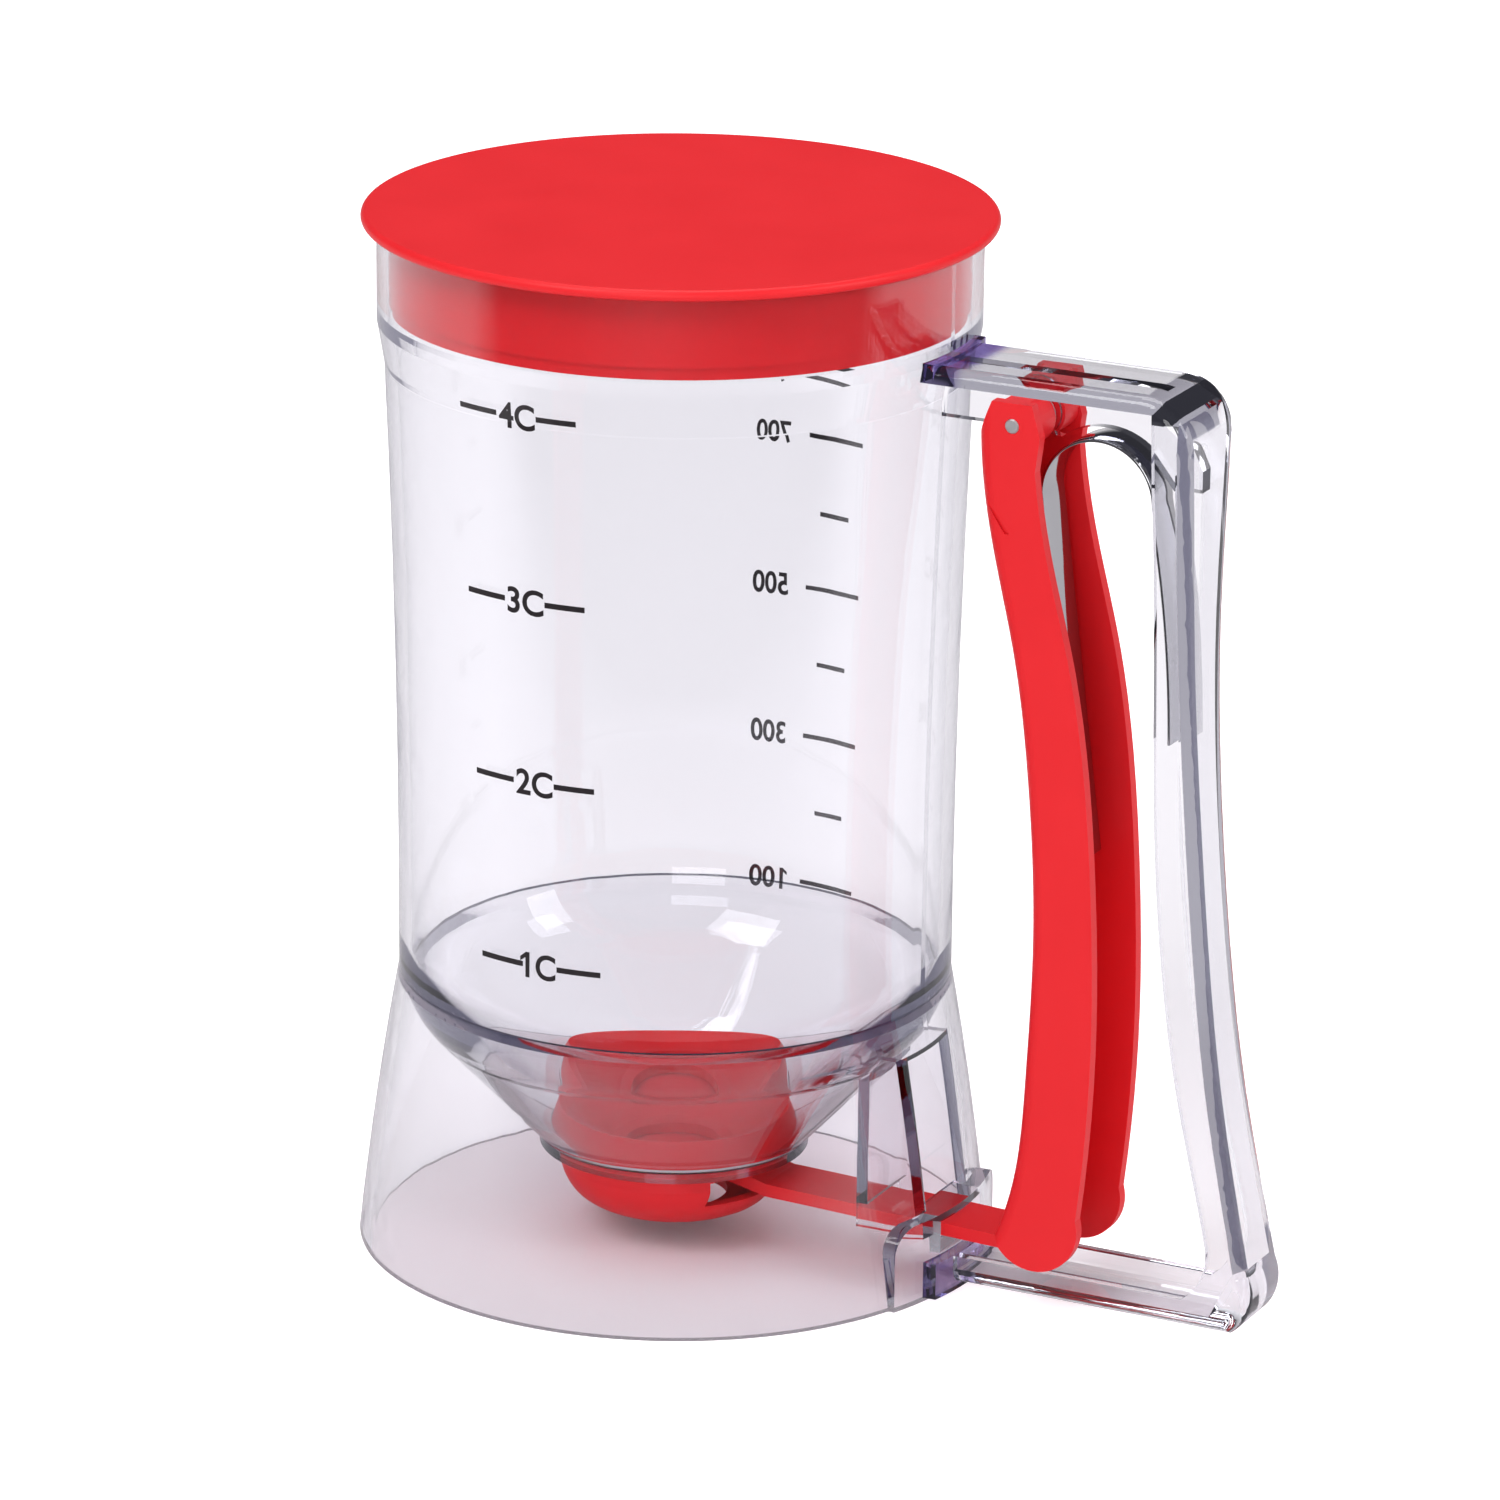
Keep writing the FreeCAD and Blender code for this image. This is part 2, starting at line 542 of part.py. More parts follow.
def make_leaf_spring():
    """A strip bent over a round arch, one leg in the trigger and one in the grip."""
    face_edges = [
        (SPRING_TIP_IN, SPRING_MID_IN, (ARCH_X - ARCH_R, ARCH_Z)),
        ((ARCH_X - ARCH_R, ARCH_Z), (ARCH_X, ARCH_Z + ARCH_R), (ARCH_X + ARCH_R, ARCH_Z)),
        ((ARCH_X + ARCH_R, ARCH_Z), SPRING_MID_OUT, SPRING_TIP_OUT),
    ]
    outer = [Part.Arc(vec(a), vec(b), vec(c)).toShape() for a, b, c in face_edges]
    path = Part.Wire(outer)
    start = vec(SPRING_TIP_IN)
    tangent = outer[0].tangentAt(outer[0].FirstParameter)
    normal = tangent.cross(V(0, 1, 0)).normalize()
    half = normal * (STRIP_THICK / 2)
    side = V(0, STRIP_HALF, 0)
    corners = [start - half - side, start + half - side, start + half + side, start - half + side]
    profile = Part.makePolygon(corners + corners[:1])
    return path.makePipeShell([profile], True, True)


PIECES = {
    "container": make_container,
    "lid": make_lid,
    "base_skirt": make_base_skirt,
    "handle": make_handle,
    "pivot_pin": make_pivot_pin,
    "trigger": make_trigger,
    "leaf_spring": make_leaf_spring,
    "valve_seat": make_valve_seat,
    "seat_seal": make_seat_seal,
    "outlet_cup": make_outlet_cup,
    "valve_slide": make_valve_slide,
}


def main():
    os.makedirs("parts", exist_ok=True)
    for name, make in PIECES.items():
        shape = make()
        solids = shape.Solids
        shape = solids[0] if len(solids) == 1 else shape
        shape.translate(V(AXIS_X, 0, 0))
        shape.exportStep("parts/%s.step" % name)
        size = shape.optimalBoundingBox()
        print("%-12s solids %d valid %s volume %.0f  x %.1f..%.1f  y %.1f..%.1f  z %.1f..%.1f" % (
            name, len(solids), shape.isValid(), shape.Volume, size.XMin, size.XMax,
            size.YMin, size.YMax, size.ZMin, size.ZMax))


main()
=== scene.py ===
"""The looks of a pancake batter dispenser: clear moulded plastic, red moulded plastic and bright steel."""
import json
import math

import bmesh
import bpy
from mathutils import Matrix, Vector

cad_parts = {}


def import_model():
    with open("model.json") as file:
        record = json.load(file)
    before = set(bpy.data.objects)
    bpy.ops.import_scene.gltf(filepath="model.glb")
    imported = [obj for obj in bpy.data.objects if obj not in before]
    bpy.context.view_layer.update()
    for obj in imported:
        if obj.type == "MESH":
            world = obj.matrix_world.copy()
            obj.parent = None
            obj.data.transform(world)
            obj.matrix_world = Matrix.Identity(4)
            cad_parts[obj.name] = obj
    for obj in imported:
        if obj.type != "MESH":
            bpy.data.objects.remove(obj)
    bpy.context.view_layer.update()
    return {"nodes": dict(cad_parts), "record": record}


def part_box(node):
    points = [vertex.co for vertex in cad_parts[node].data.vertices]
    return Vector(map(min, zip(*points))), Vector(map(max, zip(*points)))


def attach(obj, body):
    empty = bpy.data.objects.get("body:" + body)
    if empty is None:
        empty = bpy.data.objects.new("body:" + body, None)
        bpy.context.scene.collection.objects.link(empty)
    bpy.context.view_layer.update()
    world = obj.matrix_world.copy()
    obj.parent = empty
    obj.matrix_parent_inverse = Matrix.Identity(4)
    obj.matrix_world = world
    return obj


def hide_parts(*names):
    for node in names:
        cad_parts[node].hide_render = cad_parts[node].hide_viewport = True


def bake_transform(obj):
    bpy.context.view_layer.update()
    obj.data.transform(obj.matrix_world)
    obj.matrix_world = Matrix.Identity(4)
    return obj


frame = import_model()
NODES = frame["nodes"]
MM = 0.001
# The container's axis stands behind the middle of the whole part
AXIS_X = sum(corner[0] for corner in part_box("container")) / 2 / MM

# Camera, in metres and radians: where the photograph was taken from, fitted to the circles of the lid and
# the foot. The handle is turned away from the camera's right by the first angle
HANDLE_TURN = math.radians(27.0)
CAMERA_BACK = 1.400
CAMERA_HEIGHT = 0.5452
CAMERA_PITCH = 0.3150
CAMERA_ROLL = 0.01035
CAMERA_YAW = 0.00915
FOCAL_PIXELS = 8402.0
PICTURE_PIXELS = 1500.0
SENSOR_MM = 36.0

# Container wall, where the print sits, and how far the print stands off it, in millimetres
WALL_FOOT_R, WALL_FOOT_Z = 48.8, 49.8
WALL_MID_R, WALL_MID_Z = 49.25, 105.0
WALL_TOP_R, WALL_TOP_Z = 51.0, 160.0
INK_LIFT = 0.04

# The handle's thin parts lie between its two thick bonded ends, in metres
FIN_MIDDLE, FIN_REACH = 0.0865, 0.0782
BOND_REACH, BOND_FADE = 0.006, 0.002
STYRENE, BONDED_STYRENE = "#FBFBFD", "#8F7CC4"
# Light that has been thrown back at least once, or at least twice, has a count of turns above these
ONE_TURN, TWO_TURNS = 0.5, 1.5
# How much less smooth the steel is in some places than in others
STEEL_UNEVEN = 1.8

# Leaf spring, in millimetres: its strip, its path in X and Z from the container's axis, and the steps along
# that path
STRIP_HALF, STRIP_THICK, STRIP_EDGE = 4.4, 0.5, 0.12
ARCH_X, ARCH_Z, ARCH_R = 81.3, 147.0, 10.3
LEG_IN_TIP, LEG_IN_MID = (79.6, 82.0), (75.6, 112.0)
LEG_OUT_TIP, LEG_OUT_MID = (96.0, 106.0), (94.6, 128.0)
LEG_IN_STEPS, ARCH_STEPS, LEG_OUT_STEPS = 30, 40, 24


def linear(code):
    """An sRGB hex colour as linear numbers, opaque."""
    parts = [int(code[i:i + 2], 16) / 255 for i in (1, 3, 5)]
    return [c / 12.92 if c <= 0.04045 else ((c + 0.055) / 1.055) ** 2.4 for c in parts] + [1.0]


def add_node(tree, kind, settings=None, inputs=None):
    """One node with its settings. Each of its inputs takes a value, or the output of another node."""
    node = tree.nodes.new(kind)
    for name, value in (settings or {}).items():
        setattr(node, name, value)
    for name, value in (inputs or {}).items():
        if isinstance(value, bpy.types.NodeSocket):
            tree.links.new(value, node.inputs[name])
        else:
            node.inputs[name].default_value = value
    return node


def calculate(tree, operation, *values):
    """The output of a calculation on numbers."""
    return add_node(tree, "ShaderNodeMath", {"operation": operation}, dict(enumerate(values))).outputs[0]


def map_range(tree, value, low, high, at_low=0.0, at_high=1.0):
    """The output of a number that is moved from one range to another, and kept within it."""
    node = add_node(tree, "ShaderNodeMapRange", inputs={"Value": value, "From Min": low, "From Max": high,
                                                        "To Min": at_low, "To Max": at_high})
    return node.outputs[0]


# Sockets of a mix node, for numbers and for colours: what it goes from, what it goes to, and its output
MIX_SOCKETS = {"FLOAT": (2, 3, 0), "RGBA": (6, 7, 2)}


def mix(tree, kind, share, start, end):
    """The output of a mix that goes from one number or colour to another."""
    start_at, end_at, output = MIX_SOCKETS[kind]
    node = add_node(tree, "ShaderNodeMix", {"data_type": kind}, {0: share, start_at: start, end_at: end})
    return node.outputs[output]


def mix_shaders(tree, share, start, end):
    """The output of a mix that goes from one shader to another."""
    return add_node(tree, "ShaderNodeMixShader", inputs={0: share, 1: start, 2: end}).outputs[0]


def noise(tree, place, scale, detail, roughness=0.5):
    """The output of a noise, from 0 to 1."""
    node = add_node(tree, "ShaderNodeTexNoise",
                    inputs={"Vector": place, "Scale": scale, "Detail": detail, "Roughness": roughness})
    return node.outputs["Fac"]


def bump(tree, height, strength, distance):
    """The normals of a surface that a height roughens."""
    node = add_node(tree, "ShaderNodeBump",
                    inputs={"Height": height, "Strength": strength, "Distance": distance})
    return node.outputs["Normal"]


def object_place(tree):
    """The output of the place on the object, in metres."""
    return add_node(tree, "ShaderNodeTexCoord").outputs["Object"]


def new_material(name):
    """An empty material and its node tree."""
    material = bpy.data.materials.new(name)
    material.use_nodes = True
    material.node_tree.nodes.clear()
    return material, material.node_tree


def clear_styrene(name, bonded_to=None):
    """Clear polystyrene, moulded in a polished tool: sharp gloss, a faint ripple and a cool tint where thick.

    bonded_to is the X in metres up to which the plastic is bonded to the container, and looks violet.
    """
    material, tree = new_material(name)
    place = object_place(tree)
    base = linear(STYRENE)
    if bonded_to is not None:
        axes = add_node(tree, "ShaderNodeSeparateXYZ", inputs={0: place})
        height = calculate(tree, "ABSOLUTE", calculate(tree, "SUBTRACT", axes.outputs["Z"], FIN_MIDDLE))
        thin = calculate(tree, "LESS_THAN", height, FIN_REACH)
        along = map_range(tree, axes.outputs["X"], bonded_to, bonded_to + BOND_FADE)
        far = calculate(tree, "MAXIMUM", along, thin)
        base = mix(tree, "RGBA", far, linear(BONDED_STYRENE), linear(STYRENE))
    ripple = noise(tree, place, 45.0, 2.0, 0.4)
    shader = add_node(tree, "ShaderNodeBsdfPrincipled",
                      inputs={"Base Color": base, "Roughness": 0.012, "IOR": 1.52, "Transmission Weight": 1.0,
                              "Normal": bump(tree, ripple, 0.05, 0.002)})
    # Light caught between the walls leaves them again after two turns, as it does through rough edges, and
    # light on its way to a shadow goes straight through
    clear = add_node(tree, "ShaderNodeBsdfTransparent", inputs={"Color": linear("#F7F2F5")})
    loose = add_node(tree, "ShaderNodeBsdfTransparent", inputs={"Color": linear("#DCDCE4")})
    rays = add_node(tree, "ShaderNodeLightPath")
    caught = calculate(tree, "GREATER_THAN", rays.outputs["Glossy Depth"], TWO_TURNS)
    body = mix_shaders(tree, caught, shader.outputs[0], loose.outputs[0])
    surface = mix_shaders(tree, rays.outputs["Is Shadow Ray"], body, clear.outputs[0])
    tint = add_node(tree, "ShaderNodeVolumeAbsorption", inputs={"Color": linear("#DCDDE5"), "Density": 26.0})
    add_node(tree, "ShaderNodeOutputMaterial", inputs={"Surface": surface, "Volume": tint.outputs[0]})
    return material


def red_polypropylene():
    """Red polypropylene, moulded in a satin tool: soft gloss, with fine grain and slightly uneven sheen."""
    material, tree = new_material("red_polypropylene")
    place = object_place(tree)
    cloud = noise(tree, place, 60.0, 3.0)
    grain = noise(tree, place, 2600.0, 1.0)
    shader = add_node(tree, "ShaderNodeBsdfPrincipled",
                      inputs={"Base Color": mix(tree, "RGBA", cloud, linear("#D8161E"), linear("#E21C24")),
                              "Roughness": map_range(tree, cloud, 0.0, 1.0, 0.36, 0.46),
                              "IOR": 1.49, "Specular IOR Level": 0.32, "Subsurface Weight": 0.05,
                              "Subsurface Scale": 0.002, "Subsurface Radius": (1.0, 0.12, 0.08),
                              "Normal": bump(tree, grain, 0.05, 0.0002)})
    add_node(tree, "ShaderNodeOutputMaterial", inputs={"Surface": shader.outputs[0]})
    return material


def rolled_stainless(name, colour, rough, stretch):
    """Stainless steel: bright, with fine lines along the rolling direction."""
    material, tree = new_material(name)
    along = add_node(tree, "ShaderNodeMapping", inputs={"Vector": object_place(tree), "Scale": stretch})
    lines = noise(tree, along.outputs[0], 900.0, 2.0)
    shader = add_node(tree, "ShaderNodeBsdfPrincipled",
                      inputs={"Base Color": linear(colour), "Metallic": 1.0,
                              "Roughness": map_range(tree, lines, 0.0, 1.0, rough, rough * STEEL_UNEVEN),
                              "Normal": bump(tree, lines, 0.06, 0.0001)})
    add_node(tree, "ShaderNodeOutputMaterial", inputs={"Surface": shader.outputs[0]})
    return material


def moulded_silicone():
    """Translucent silicone, moulded: matte and milky, with a fine powdery grain."""
    material, tree = new_material("moulded_silicone")
    grain = noise(tree, object_place(tree), 1500.0, 2.0)
    shader = add_node(tree, "ShaderNodeBsdfPrincipled",
                      inputs={"Base Color": linear("#DAD8D4"), "Roughness": 0.55, "IOR": 1.41,
                              "Subsurface Weight": 0.4, "Subsurface Scale": 0.003,
                              "Normal": bump(tree, grain, 0.1, 0.0002)})
    add_node(tree, "ShaderNodeOutputMaterial", inputs={"Surface": shader.outputs[0]})
    return material


def pad_print_ink():
    """Dark pad-printing ink: matte, with a slightly uneven film."""
    material, tree = new_material("pad_print_ink")
    film = noise(tree, object_place(tree), 900.0, 2.0)
    tone = mix(tree, "RGBA", film, linear("#120C10"), linear("#241A20"))
    shader = add_node(tree, "ShaderNodeBsdfPrincipled", inputs={"Base Color": tone, "Roughness": 0.5})
    add_node(tree, "ShaderNodeOutputMaterial", inputs={"Surface": shader.outputs[0]})
    return material


CLEAR = clear_styrene("clear_styrene")
BONDED = clear_styrene("clear_styrene_handle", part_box("handle")[0][0] + BOND_REACH)
RED = red_polypropylene()
STRIP_STEEL = rolled_stainless("rolled_stainless_strip", "#C4C4C8", 0.04, (0.05, 1.0, 0.05))
PIN_STEEL = rolled_stainless("drawn_stainless_pin", "#F2F2F3", 0.4, (1.0, 0.05, 1.0))
SILICONE = moulded_silicone()
INK = pad_print_ink()
FINISH = {"clear_plastic": CLEAR, "red_plastic": RED, "spring_steel": STRIP_STEEL, "pin_steel": PIN_STEEL,
          "silicone": SILICONE}


def dress_cad_nodes():
    """Every CAD node takes the finish of its slot in the record."""
    for row in frame["record"]["subparts"]:
        mesh = NODES[row["node"]].data
        mesh.materials.clear()
        mesh.materials.append(BONDED if row["node"] == "handle" else FINISH[row["material_slot"]])


def start_piece():
    """Object mode with nothing selected, because an operator acts on all that is selected."""
    if bpy.context.object and bpy.context.object.mode != "OBJECT":
        bpy.ops.object.mode_set(mode="OBJECT")
    bpy.ops.object.select_all(action="DESELECT")


def settle(piece, name, material, body):
    """Applies the piece's place, names it, gives its finish and lets it ride on a body."""
    start_piece()
    piece.select_set(True)
    bpy.context.view_layer.objects.active = piece
    bpy.ops.object.transform_apply(location=True, rotation=True, scale=True)
    piece.name = name
    piece.data.name = name
    piece.data.materials.clear()
    piece.data.materials.append(material)
    if body:
        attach(piece, body)
    return piece


def circle_through(a, b, c):
    """Centre and radius of the circle through three points of a plane."""
    ax, ay, bx, by, cx, cy = *a, *b, *c
    d = 2 * (ax * (by - cy) + bx * (cy - ay) + cx * (ay - by))
    ux = ((ax**2 + ay**2) * (by - cy) + (bx**2 + by**2) * (cy - ay) + (cx**2 + cy**2) * (ay - by)) / d
    uy = ((ax**2 + ay**2) * (cx - bx) + (bx**2 + by**2) * (ax - cx) + (cx**2 + cy**2) * (bx - ax)) / d
    return (ux, uy), math.hypot(ax - ux, ay - uy)


def arc_points(a, b, c, count):
    """Points along the arc from a through b to c."""
    (ux, uy), radius = circle_through(a, b, c)
    angles = [math.atan2(p[1] - uy, p[0] - ux) for p in (a, b, c)]
    for i in (1, 2):
        while angles[i] - angles[i - 1] > math.pi:
            angles[i] -= 2 * math.pi
        while angles[i] - angles[i - 1] < -math.pi:
            angles[i] += 2 * math.pi
    steps = [angles[0] + (angles[2] - angles[0]) * i / count for i in range(count + 1)]
    return [(ux + radius * math.cos(t), uy + radius * math.sin(t)) for t in steps]


def leaf_spring():
    """The strip, bent along its path from the trigger over the arch into the grip."""
    left = (ARCH_X - ARCH_R, ARCH_Z)
    right = (ARCH_X + ARCH_R, ARCH_Z)
    path = arc_points(LEG_IN_TIP, LEG_IN_MID, left, LEG_IN_STEPS)
    path += arc_points(left, (ARCH_X, ARCH_Z + ARCH_R), right, ARCH_STEPS)[1:]
    path += arc_points(right, LEG_OUT_MID, LEG_OUT_TIP, LEG_OUT_STEPS)[1:]
    start_piece()
    bpy.ops.mesh.primitive_plane_add(size=1.0)
    piece = bpy.context.object
    mesh = bmesh.new()
    rows = []
    for x, z in path:
        rows.append([mesh.verts.new(((AXIS_X + x) * MM, side * STRIP_HALF * MM, z * MM)) for side in (-1, 1)])
    for low, high in zip(rows, rows[1:]):
        mesh.faces.new((low[0], low[1], high[1], high[0]))
    mesh.to_mesh(piece.data)
    mesh.free()
    for kind, settings in (("SOLIDIFY", {"thickness": STRIP_THICK * MM, "offset": 0.0}),
                           ("BEVEL", {"width": STRIP_EDGE * MM, "segments": 2, "limit_method": "ANGLE"})):
        modifier = piece.modifiers.new(kind, kind)
        for key, value in settings.items():
            setattr(modifier, key, value)
        bpy.ops.object.modifier_apply(modifier=modifier.name)
    bpy.ops.object.shade_smooth_by_angle(angle=math.radians(30))
    settle(piece, "leaf_spring_strip", STRIP_STEEL, None)
    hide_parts("leaf_spring")
    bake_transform(piece)
    return piece


def wall_radius(z):
    """Outer radius of the container wall at a height, in millimetres."""
    a, b, c = (WALL_FOOT_Z, WALL_FOOT_R), (WALL_MID_Z, WALL_MID_R), (WALL_TOP_Z, WALL_TOP_R)
    total = 0.0
    for (z0, r0), (z1, _), (z2, _) in ((a, b, c), (b, a, c), (c, a, b)):
        total += r0 * (z - z1) * (z - z2) / ((z0 - z1) * (z0 - z2))
    return total


def wrap_on_wall(piece, angle, z):
    """Lays a flat mark, drawn in XY in millimetres, on the wall at an angle and a height."""
    for vertex in piece.data.vertices:
        x, y, _ = vertex.co
        height = z + y
        radius = wall_radius(height) + INK_LIFT
        turn = math.radians(angle) + x / radius
        vertex.co = ((AXIS_X + radius * math.cos(turn)) * MM, radius * math.sin(turn) * MM, height * MM)


# Columns in a bar, the share of a font's size that its capitals fill, and how far ink spreads, per height
BAR_COLUMNS, CAP_SHARE, INK_SPREAD = 10, 0.72, 0.032


def ink_bar(x0, x1, thick):
    """A flat bar of ink with enough columns to follow the wall."""
    start_piece()
    bpy.ops.mesh.primitive_grid_add(x_subdivisions=BAR_COLUMNS, y_subdivisions=1, size=1.0,
                                    location=((x0 + x1) / 2, 0, 0))
    bar = bpy.context.object
    bar.scale = (x1 - x0, thick, 1)
    bpy.ops.object.transform_apply(location=True, rotation=True, scale=True)
    return bar


def ink_text(words, height, x_centre, width):
    """Filled letters as a mesh, of a given cap height and width."""
    start_piece()
    bpy.ops.object.text_add(location=(0, 0, 0))
    text = bpy.context.object
    text.data.body = words
    text.data.size = height / CAP_SHARE
    text.data.align_x = "CENTER"
    text.data.offset = INK_SPREAD * height
    text.data.resolution_u = 6
    bpy.ops.object.convert(target="MESH")
    text = bpy.context.object
    xs = [v.co.x for v in text.data.vertices]
    ys = [v.co.y for v in text.data.vertices]
    middle_x, middle_y = (min(xs) + max(xs)) / 2, (min(ys) + max(ys)) / 2
    squeeze = width / (max(xs) - min(xs))
    grow = height / (max(ys) - min(ys))
    for vertex in text.data.vertices:
        vertex.co.x = (vertex.co.x - middle_x) * squeeze + x_centre
        vertex.co.y = (vertex.co.y - middle_y) * grow
    return text


def join(pieces):
    """Several pieces made one."""
    start_piece()
    for piece in pieces:
        piece.select_set(True)
    bpy.context.view_layer.objects.active = pieces[0]
    if len(pieces) > 1:
        bpy.ops.object.join()
    return bpy.context.object


# Corners of the flag of a figure one, from the top left of its stem, in widths of a line
FLAG = ((0.2, 0.0), (0.2, -1.25), (-1.35, -2.3), (-1.35, -1.3))


def flag_for_one(text, width):
    """Adds the slanting flag at the top of a figure one that begins a text."""
    mesh = bmesh.new()
    mesh.from_mesh(text.data)
    left = min(v.co.x for v in mesh.verts)
    top = max(v.co.y for v in mesh.verts)
    mesh.faces.new([mesh.verts.new((left + x * width, top + y * width, 0)) for x, y in FLAG])
    mesh.to_mesh(text.data)
    mesh.free()


# Each cup mark: cups, height, angle, width of its text
CUP_MARKS = ((1, 63.6, -92.0, 5.9), (2, 96.6, -93.3, 7.2), (3, 128.9, -94.9, 7.2), (4, 161.6, -96.0, 7.2))
CUP_TEXT_HEIGHT, CUP_TEXT_SHIFT, CUP_REACH, CUP_LINE = 4.7, 0.6, 11.8, 1.0
CUP_GAP_LEFT, CUP_GAP_RIGHT = 0.5, 0.2
CUP_FLAG_LINE = 0.8 * CUP_LINE
# Each millilitre mark: amount and height
ML_MARKS = ((100, 50.4), (200, 64.2), (300, 78.4), (400, 92.2), (500, 106.2), (600, 120.2), (700, 134.4),
            (800, 147.4))
ML_TEXT_HEIGHT, ML_TEXT_WIDTH, ML_TEXT_ANGLE, ML_LINE = 4.3, 7.0, 96.6, 0.85
ML_FLAG_LINE = 0.7 * ML_LINE
# Angles at which the long and the short lines begin and end
ML_DASH = (74.2, 88.2)
ML_TICK = (77.6, 85.1)


def cup_marks():
    """The cups, each with a line on both sides, on the wall towards the camera."""
    for cups, z, angle, width in CUP_MARKS:
        left = CUP_TEXT_SHIFT - width / 2 - CUP_GAP_LEFT
        right = CUP_TEXT_SHIFT + width / 2 + CUP_GAP_RIGHT
        text = ink_text("%dC" % cups, CUP_TEXT_HEIGHT, CUP_TEXT_SHIFT, width)
        if cups == 1:
            flag_for_one(text, CUP_FLAG_LINE)
        mark = join([text, ink_bar(-CUP_REACH, left, CUP_LINE), ink_bar(right, CUP_REACH, CUP_LINE)])
        wrap_on_wall(mark, angle, z)
        settle(mark, "print_cup_%d" % cups, INK, "body")


def ml_marks():
    """The millilitres on the far side: a long line with its number, and a short one between."""
    for amount, z in ML_MARKS:
        long_mark = (amount // 100) % 2 == 1
        low, high = ML_DASH if long_mark else ML_TICK
        centre = (low + high) / 2
        half = math.radians(high - low) / 2 * wall_radius(z)
        parts = [ink_bar(-half, half, ML_LINE)]
        if long_mark:
            along = math.radians(ML_TEXT_ANGLE - centre) * wall_radius(z)
            text = ink_text(str(amount), ML_TEXT_HEIGHT, along, ML_TEXT_WIDTH)
            if amount == 100:
                flag_for_one(text, ML_FLAG_LINE)
            parts.append(text)
        mark = join(parts)
        wrap_on_wall(mark, centre, z)
        settle(mark, "print_ml_%d" % amount, INK, "body")


# The floor, and the glow that shows it white to the camera
FLOOR_SIZE, FLOOR_TONE, FLOOR_GLOW = 9.0, "#EFEDEE", 0.64
# Through clear pieces the floor grows paler with its distance, as a studio sweep does
SWEEP_GLOW, SWEEP_FROM, SWEEP_TO = 0.42, 0.6, 1.7
# The share of the floor that thrown-back light shows, in front of the object and, in mirrors, behind it
FLOOR_NEAR, FLOOR_FAR = 0.06, 0.62
NEAR_TO, FAR_FROM = -0.22, -0.07
# The room: its light on matt faces, its tones at the sweep, above it and in front, and where they meet
ROOM_SOFT, ROOM_PALE, ROOM_DARK, ROOM_FRONT = "#D8D7DB", "#F4F3F6", "#3C3C42", "#707076"
ROOM_PALE_TO, ROOM_DARK_FROM = 0.02, 0.42
FRONT_DARK_TO, FRONT_PALE_FROM = -0.7, 0.1
MIRROR_DROP = 0.25


def mirror_ray(tree, rays):
    """1 for light that a face has just thrown back, and 0 for light that has just passed through one."""
    return calculate(tree, "MINIMUM", rays.outputs["Is Glossy Ray"], rays.outputs["Is Reflection Ray"])


def turned_back(tree, rays):
    """1 for light that has been thrown back at least once on its way."""
    return calculate(tree, "GREATER_THAN", rays.outputs["Glossy Depth"], ONE_TURN)


def depth_of(tree, place):
    """How far a place or a direction lies behind the container, as the camera sees it."""
    node = add_node(tree, "ShaderNodeVectorMath", {"operation": "DOT_PRODUCT"},
                    {0: place, 1: tuple(turned_way(0, 1, 0))})
    return node.outputs["Value"]


def floor():
    """A plain pale floor that shows white round the object and keeps its shadow.

    Light that is thrown back shows it darker in front of the object, where a studio is dark.
    """
    start_piece()
    bpy.ops.mesh.primitive_plane_add(size=FLOOR_SIZE, location=(0, 0, 0))
    plane = bpy.context.object
    plane.name = "floor"
    material, tree = new_material("pale_floor")
    rays = add_node(tree, "ShaderNodeLightPath")
    place = object_place(tree)
    far = calculate(tree, "MULTIPLY_ADD", mirror_ray(tree, rays), FLOOR_FAR - 1, 1.0)
    depth = map_range(tree, depth_of(tree, place), NEAR_TO, FAR_FROM, FLOOR_NEAR, far)
    share = mix(tree, "FLOAT", turned_back(tree, rays), 1.0, depth)
    tone = mix(tree, "RGBA", share, linear("#000000"), linear(FLOOR_TONE))
    matte = add_node(tree, "ShaderNodeBsdfDiffuse", inputs={"Color": tone})
    away = add_node(tree, "ShaderNodeVectorMath", {"operation": "LENGTH"}, {0: place})
    sweep = map_range(tree, away.outputs["Value"], SWEEP_FROM, SWEEP_TO, 0.0, SWEEP_GLOW)
    bent = calculate(tree, "MULTIPLY", rays.outputs["Is Glossy Ray"], sweep)
    lift = calculate(tree, "MULTIPLY_ADD", rays.outputs["Is Camera Ray"], FLOOR_GLOW, bent)
    glow = add_node(tree, "ShaderNodeEmission", inputs={"Color": tone, "Strength": lift})
    both = add_node(tree, "ShaderNodeAddShader", inputs={0: matte.outputs[0], 1: glow.outputs[0]})
    add_node(tree, "ShaderNodeOutputMaterial", inputs={"Surface": both.outputs[0]})
    plane.data.materials.append(material)


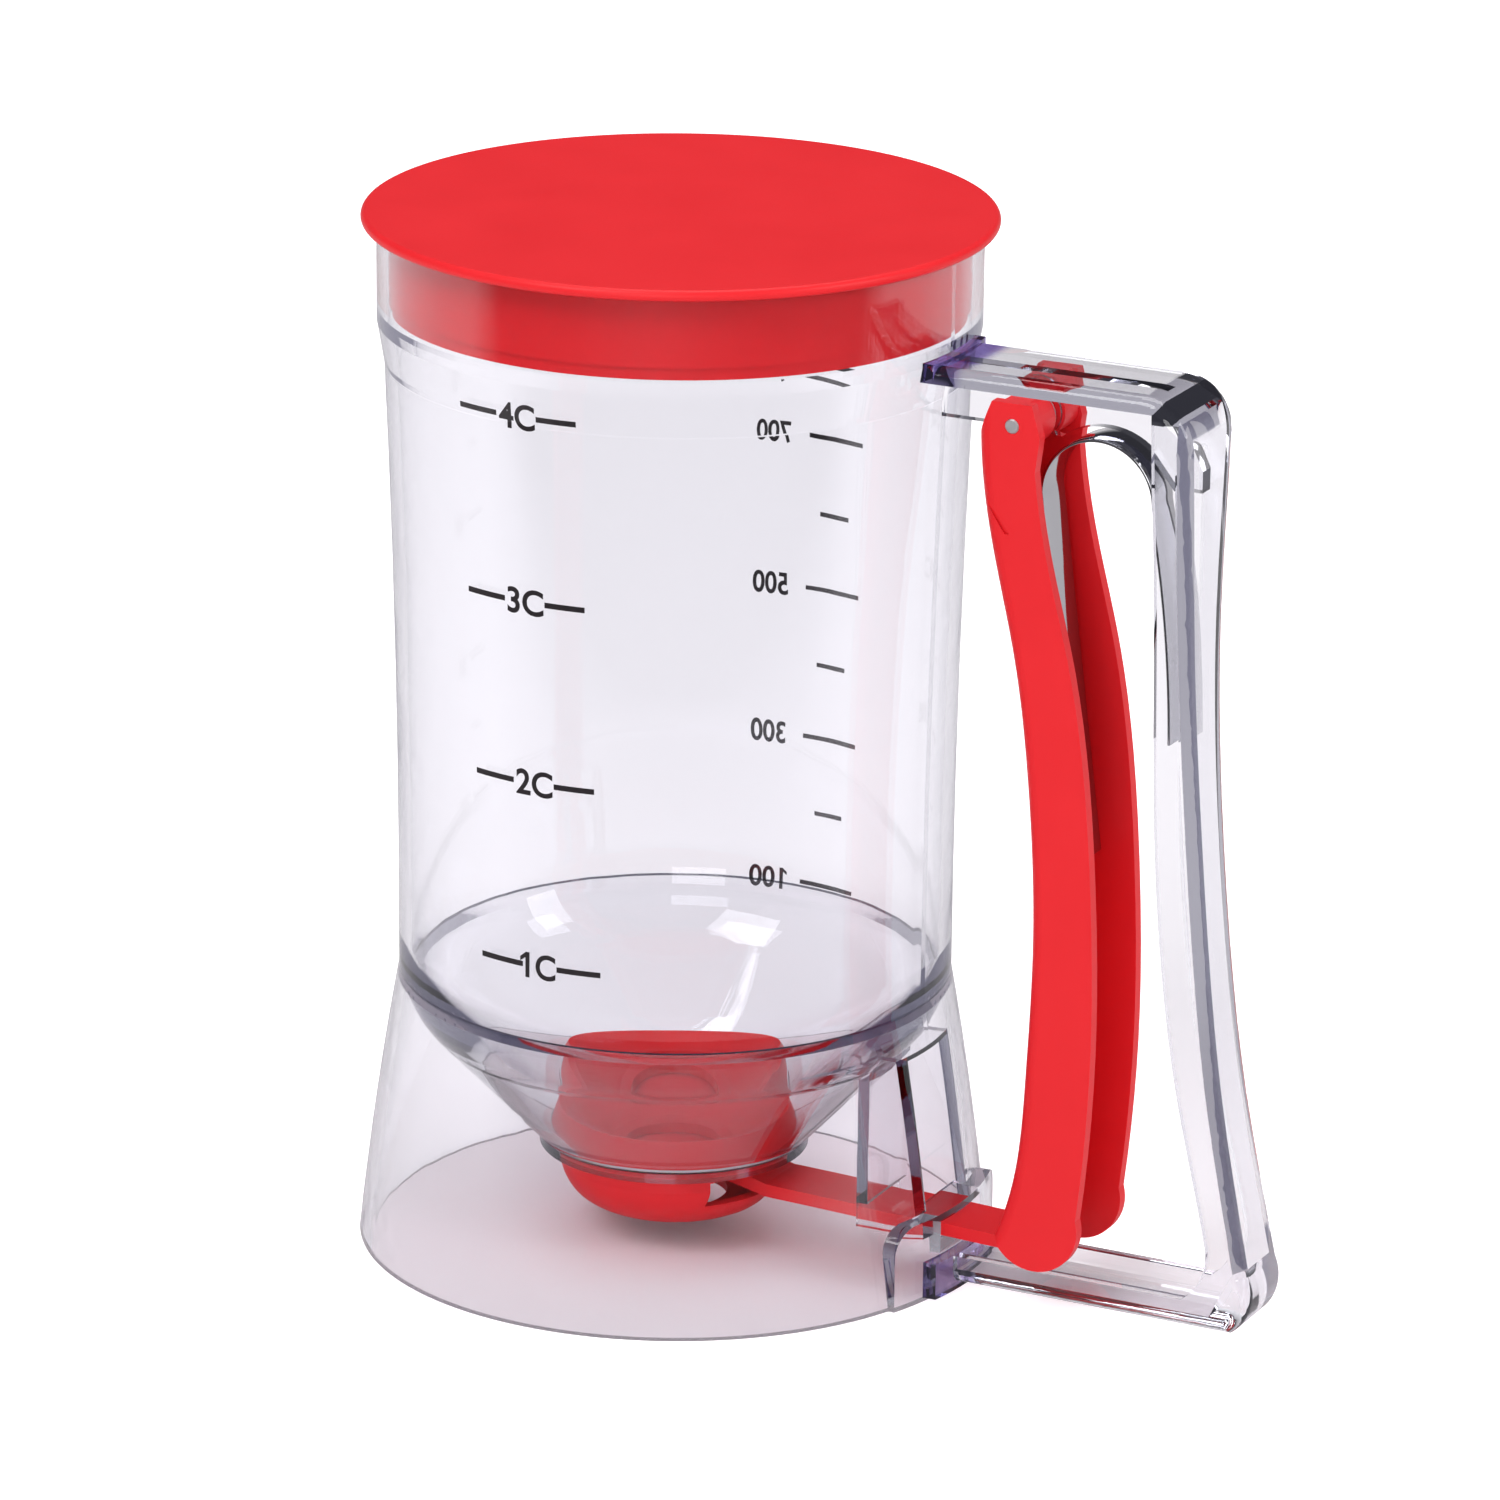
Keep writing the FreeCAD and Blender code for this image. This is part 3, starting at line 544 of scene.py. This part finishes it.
def world():
    """White to the camera, soft light on matt faces, and a room in mirrors and clear pieces.

    The room is pale at the height of the sweep and dark above it, and light that is thrown back shows it dark
    in front of the object. Mirrors see the pale part end lower, as if the sweep were short.
    """
    room = bpy.data.worlds.new("studio")
    bpy.context.scene.world = room
    room.use_nodes = True
    tree = room.node_tree
    tree.nodes.clear()
    rays = add_node(tree, "ShaderNodeLightPath")
    way = add_node(tree, "ShaderNodeTexCoord").outputs["Generated"]
    axes = add_node(tree, "ShaderNodeSeparateXYZ", inputs={0: way})
    height = calculate(tree, "MULTIPLY_ADD", mirror_ray(tree, rays), MIRROR_DROP, axes.outputs["Z"])
    above = map_range(tree, height, ROOM_PALE_TO, ROOM_DARK_FROM)
    rising = mix(tree, "RGBA", above, linear(ROOM_PALE), linear(ROOM_DARK))
    front = map_range(tree, depth_of(tree, way), FRONT_DARK_TO, FRONT_PALE_FROM, 1.0, 0.0)
    dark = calculate(tree, "MULTIPLY", front, turned_back(tree, rays))
    tone = mix(tree, "RGBA", dark, rising, linear(ROOM_FRONT))
    white = add_node(tree, "ShaderNodeBackground", inputs={"Color": linear("#FFFFFF")})
    soft = add_node(tree, "ShaderNodeBackground", inputs={"Color": linear(ROOM_SOFT)})
    seen = add_node(tree, "ShaderNodeBackground", inputs={"Color": tone})
    bent = calculate(tree, "MAXIMUM", rays.outputs["Is Glossy Ray"], rays.outputs["Is Transmission Ray"])
    other = mix_shaders(tree, bent, soft.outputs[0], seen.outputs[0])
    both = mix_shaders(tree, rays.outputs["Is Camera Ray"], other, white.outputs[0])
    add_node(tree, "ShaderNodeOutputWorld", inputs={"Surface": both})


def turned_way(x, y, z):
    """A direction given as seen by the camera: x to the right, y away, z up."""
    cos, sin = math.cos(HANDLE_TURN), math.sin(HANDLE_TURN)
    return Vector((x * cos - y * sin, x * sin + y * cos, z))


def turned_place(x, y, z):
    """A place given from the container's foot as seen by the camera."""
    return turned_way(x, y, z) + Vector((AXIS_X * MM, 0, 0))


def soft_light(name, place, aim, width, height, power):
    """A flat soft lamp at a place and aimed at another, both as seen by the camera, in metres and watts."""
    light = bpy.data.lights.new(name, "AREA")
    light.shape = "RECTANGLE"
    light.size, light.size_y = width, height
    light.energy = power
    lamp = bpy.data.objects.new(name, light)
    bpy.context.scene.collection.objects.link(lamp)
    lamp.location = turned_place(*place)
    lamp.rotation_euler = (turned_place(*aim) - lamp.location).to_track_quat("-Z", "Y").to_euler()


def lights():
    """Key light from the front left, fill from the right, top light, and a low one for the lid's plug."""
    soft_light("key", (-0.9, -1.0, 1.6), (0, 0, 0.09), 0.9, 0.9, 14.5)
    soft_light("fill", (1.5, -0.8, 0.8), (0, 0, 0.09), 0.7, 0.9, 9.0)
    soft_light("top", (0.1, 0.5, 2.0), (0, 0, 0.1), 1.2, 1.2, 13.0)
    soft_light("front", (-0.3, -1.6, 0.30), (0, 0, 0.15), 0.7, 0.5, 4.5)


def camera():
    """The camera where the photograph was taken from."""
    lens = bpy.data.cameras.new("camera")
    lens.lens = FOCAL_PIXELS / PICTURE_PIXELS * SENSOR_MM
    lens.sensor_width = SENSOR_MM
    lens.clip_start = 0.05
    eye = bpy.data.objects.new("camera", lens)
    bpy.context.scene.collection.objects.link(eye)
    ahead = turned_way(math.sin(CAMERA_YAW) * math.cos(CAMERA_PITCH),
                       math.cos(CAMERA_YAW) * math.cos(CAMERA_PITCH), -math.sin(CAMERA_PITCH))
    level = turned_way(math.cos(CAMERA_YAW), -math.sin(CAMERA_YAW), 0.0)
    up = level.cross(ahead)
    right = math.cos(CAMERA_ROLL) * level + math.sin(CAMERA_ROLL) * up
    top = math.cos(CAMERA_ROLL) * up - math.sin(CAMERA_ROLL) * level
    turn = Matrix((right, top, -ahead)).transposed().to_4x4()
    eye.matrix_world = Matrix.Translation(turned_place(0, -CAMERA_BACK, CAMERA_HEIGHT)) @ turn
    bpy.context.scene.camera = eye


bpy.context.scene.view_settings.view_transform = "Standard"
dress_cad_nodes()
leaf_spring()
cup_marks()
ml_marks()
floor()
world()
lights()
camera()
